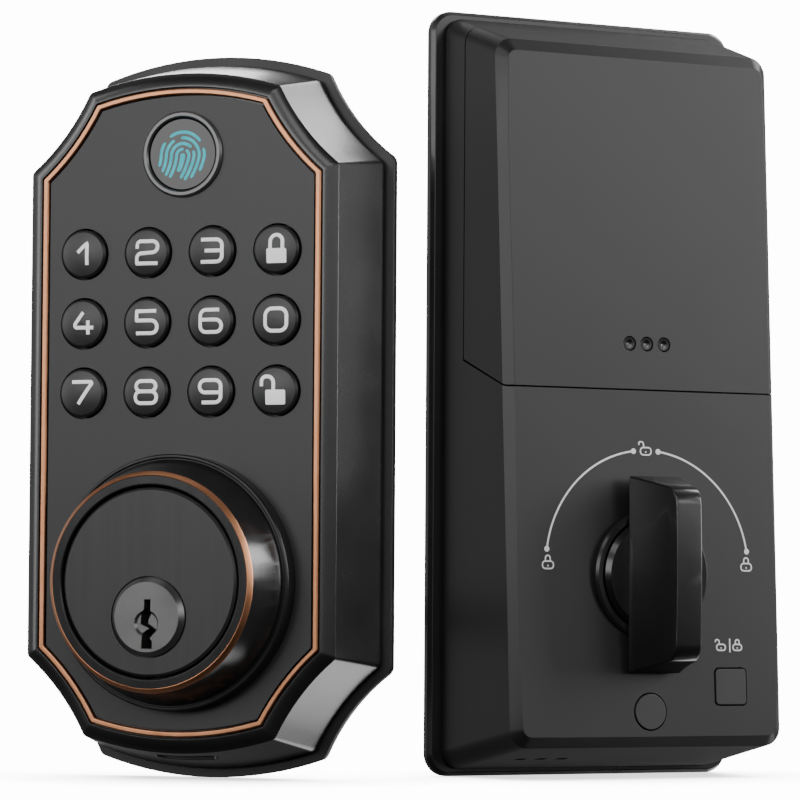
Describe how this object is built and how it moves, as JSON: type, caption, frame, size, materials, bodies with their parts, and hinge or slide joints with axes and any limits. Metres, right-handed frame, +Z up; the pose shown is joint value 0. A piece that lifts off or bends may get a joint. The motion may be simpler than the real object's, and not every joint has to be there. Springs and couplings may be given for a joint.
{
  "type": "keypad smart lock",
  "caption": "Keypad door lock: an exterior unit with keypad, fingerprint reader and key cylinder, and an interior unit with battery cover and thumbturn.",
  "frame": {"origin": "bottom centre of the box around both halves as they stand side by side", "axes": "+Z up; the halves face -Y, the exterior half (at -X) turned 21 degrees one way and the interior half (at +X) 28 degrees the other"},
  "size_m": [0.1596, 0.0958, 0.164],
  "materials": {
    "casing": "dark grey gloss enamel on die-cast zinc",
    "copper_trim": "satin rose-copper plate",
    "face": "vertically brushed dark steel",
    "rubber": "soft matt black",
    "silicone": "translucent grey silicone",
    "steel_plate": "zinc-plated sheet",
    "screw_steel": "zinc-plated",
    "key_black": "gloss black with white legend",
    "circuit_green": "green solder mask",
    "chip_black": "moulded black",
    "socket_white": "natural nylon",
    "collar_chrome": "polished black nickel",
    "cylinder_satin": "satin nickel, straight-grained",
    "plug_metal": "polished nickel",
    "reader_ring": "gloss black bezel",
    "reader_glass": "dark glass with a cyan lit print",
    "flange": "dark grey gloss enamel",
    "cover": "dark smoked gloss",
    "housing_in": "dark smoked gloss",
    "grip_stud": "gloss black",
    "thumb_metal": "gloss black enamel",
    "thumb_ring": "polished black nickel",
    "gear_nylon": "natural acetal",
    "gear_steel": "sintered steel",
    "motor_can": "nickel-plated can",
    "frame_black": "glass-filled nylon",
    "cell_sleeve": "plain printed sleeve with bare cap",
    "contact": "nickel-plated spring steel",
    "button_face": "gloss black"
  },
  "bodies": {
    "fixed": {"exterior_housing": "casing", "bezel_trim": "copper_trim", "face_plate": "face", "door_gasket": "rubber", "rear_plate": "steel_plate", "keypad_membrane": "silicone", "keypad_board": "circuit_green", "keypad_processor": "chip_black", "keypad_cable_socket": "socket_white", "buzzer": "chip_black", "emergency_power_socket": "motor_can", "fingerprint_ring": "reader_ring", "fingerprint_glass": "reader_glass", "fingerprint_sensor": "chip_black", "cylinder_collar": "collar_chrome", "collar_trim_ring": "copper_trim", "lock_cylinder": "cylinder_satin", "pin_stacks": "plug_metal", "mounting_posts": "screw_steel", "rear_plate_screws": "screw_steel", "base_flange": "flange", "mounting_plate": "steel_plate", "interior_housing": "housing_in", "battery_tray": "frame_black", "battery_cells": "cell_sleeve", "battery_contacts": "contact", "thumbturn_bezel": "thumb_ring", "drive_motor": "motor_can", "gearbox_frame": "frame_black", "gear_axle": "gear_steel", "spindle_bush": "gear_nylon", "main_board": "circuit_green", "board_posts": "screw_steel", "button_switches": "chip_black", "through_bolts": "screw_steel"},
    "plug": {"key_plug": "plug_metal", "plug_clip": "steel_plate", "tailpiece": "steel_plate"},
    "turn": {"thumbturn": "thumb_metal", "drive_gear": "gear_steel", "drive_spindle": "gear_steel"},
    "train": {"compound_gear": "gear_nylon"},
    "pinion": {"motor_pinion": "gear_steel"},
    "cover": {"battery_cover": "cover", "cover_grips": "grip_stud"},
    "square_button": {"square_button": "button_face"},
    "round_button": {"round_button": "button_face"},
    "key_1": {"key_1": "key_black"},
    "key_2": {"key_2": "key_black"},
    "key_3": {"key_3": "key_black"},
    "key_lock": {"key_lock": "key_black"},
    "key_4": {"key_4": "key_black"},
    "key_5": {"key_5": "key_black"},
    "key_6": {"key_6": "key_black"},
    "key_0": {"key_0": "key_black"},
    "key_7": {"key_7": "key_black"},
    "key_8": {"key_8": "key_black"},
    "key_9": {"key_9": "key_black"},
    "key_unlock": {"key_unlock": "key_black"}
  },
  "joints": [
    {"name": "key_1_press", "type": "slide", "parent": "fixed", "child": "key_1", "axis": [0.3584, 0.9336, 0], "range_m": [0, 0.001], "stiffness_N_per_m": 400},
    {"name": "key_2_press", "type": "slide", "parent": "fixed", "child": "key_2", "axis": [0.3584, 0.9336, 0], "range_m": [0, 0.001], "stiffness_N_per_m": 400},
    {"name": "key_3_press", "type": "slide", "parent": "fixed", "child": "key_3", "axis": [0.3584, 0.9336, 0], "range_m": [0, 0.001], "stiffness_N_per_m": 400},
    {"name": "key_lock_press", "type": "slide", "parent": "fixed", "child": "key_lock", "axis": [0.3584, 0.9336, 0], "range_m": [0, 0.001], "stiffness_N_per_m": 400},
    {"name": "key_4_press", "type": "slide", "parent": "fixed", "child": "key_4", "axis": [0.3584, 0.9336, 0], "range_m": [0, 0.001], "stiffness_N_per_m": 400},
    {"name": "key_5_press", "type": "slide", "parent": "fixed", "child": "key_5", "axis": [0.3584, 0.9336, 0], "range_m": [0, 0.001], "stiffness_N_per_m": 400},
    {"name": "key_6_press", "type": "slide", "parent": "fixed", "child": "key_6", "axis": [0.3584, 0.9336, 0], "range_m": [0, 0.001], "stiffness_N_per_m": 400},
    {"name": "key_0_press", "type": "slide", "parent": "fixed", "child": "key_0", "axis": [0.3584, 0.9336, 0], "range_m": [0, 0.001], "stiffness_N_per_m": 400},
    {"name": "key_7_press", "type": "slide", "parent": "fixed", "child": "key_7", "axis": [0.3584, 0.9336, 0], "range_m": [0, 0.001], "stiffness_N_per_m": 400},
    {"name": "key_8_press", "type": "slide", "parent": "fixed", "child": "key_8", "axis": [0.3584, 0.9336, 0], "range_m": [0, 0.001], "stiffness_N_per_m": 400},
    {"name": "key_9_press", "type": "slide", "parent": "fixed", "child": "key_9", "axis": [0.3584, 0.9336, 0], "range_m": [0, 0.001], "stiffness_N_per_m": 400},
    {"name": "key_unlock_press", "type": "slide", "parent": "fixed", "child": "key_unlock", "axis": [0.3584, 0.9336, 0], "range_m": [0, 0.001], "stiffness_N_per_m": 400},
    {"name": "square_button_press", "type": "slide", "parent": "fixed", "child": "square_button", "axis": [-0.4695, 0.8829, 0], "range_m": [0, 0.0006], "stiffness_N_per_m": 500},
    {"name": "round_button_press", "type": "slide", "parent": "fixed", "child": "round_button", "axis": [-0.4695, 0.8829, 0], "range_m": [0, 0.0006], "stiffness_N_per_m": 500},
    {"name": "plug_turn", "type": "hinge", "parent": "fixed", "child": "plug", "pos_m": [-0.04788, -0.02697, 0.0336], "axis": [0.3584, 0.9336, 0], "range_deg": [-90, 90]},
    {"name": "thumb_turn", "type": "hinge", "parent": "fixed", "child": "turn", "pos_m": [0.03632, 0.02133, 0.0431], "axis": [-0.4695, 0.8829, 0], "range_deg": [-90, 90]},
    {"name": "train_spin", "type": "hinge", "parent": "fixed", "child": "train", "pos_m": [0.02819, 0.00681, 0.05848], "axis": [-0.4695, 0.8829, 0], "range_deg": [-310, 310]},
    {"name": "pinion_spin", "type": "hinge", "parent": "fixed", "child": "pinion", "pos_m": [0.03656, 0.01625, 0.07258], "axis": [-0.4695, 0.8829, 0], "range_deg": [-1090, 1090]},
    {"name": "cover_lift", "type": "slide", "parent": "fixed", "child": "cover", "axis": [0, 0, 1], "range_m": [0, 0.085]}
  ],
  "couplings": [
    {"joint": "train_spin", "follows": "thumb_turn", "ratio": -3.3333},
    {"joint": "pinion_spin", "follows": "thumb_turn", "ratio": 12}
  ]
}
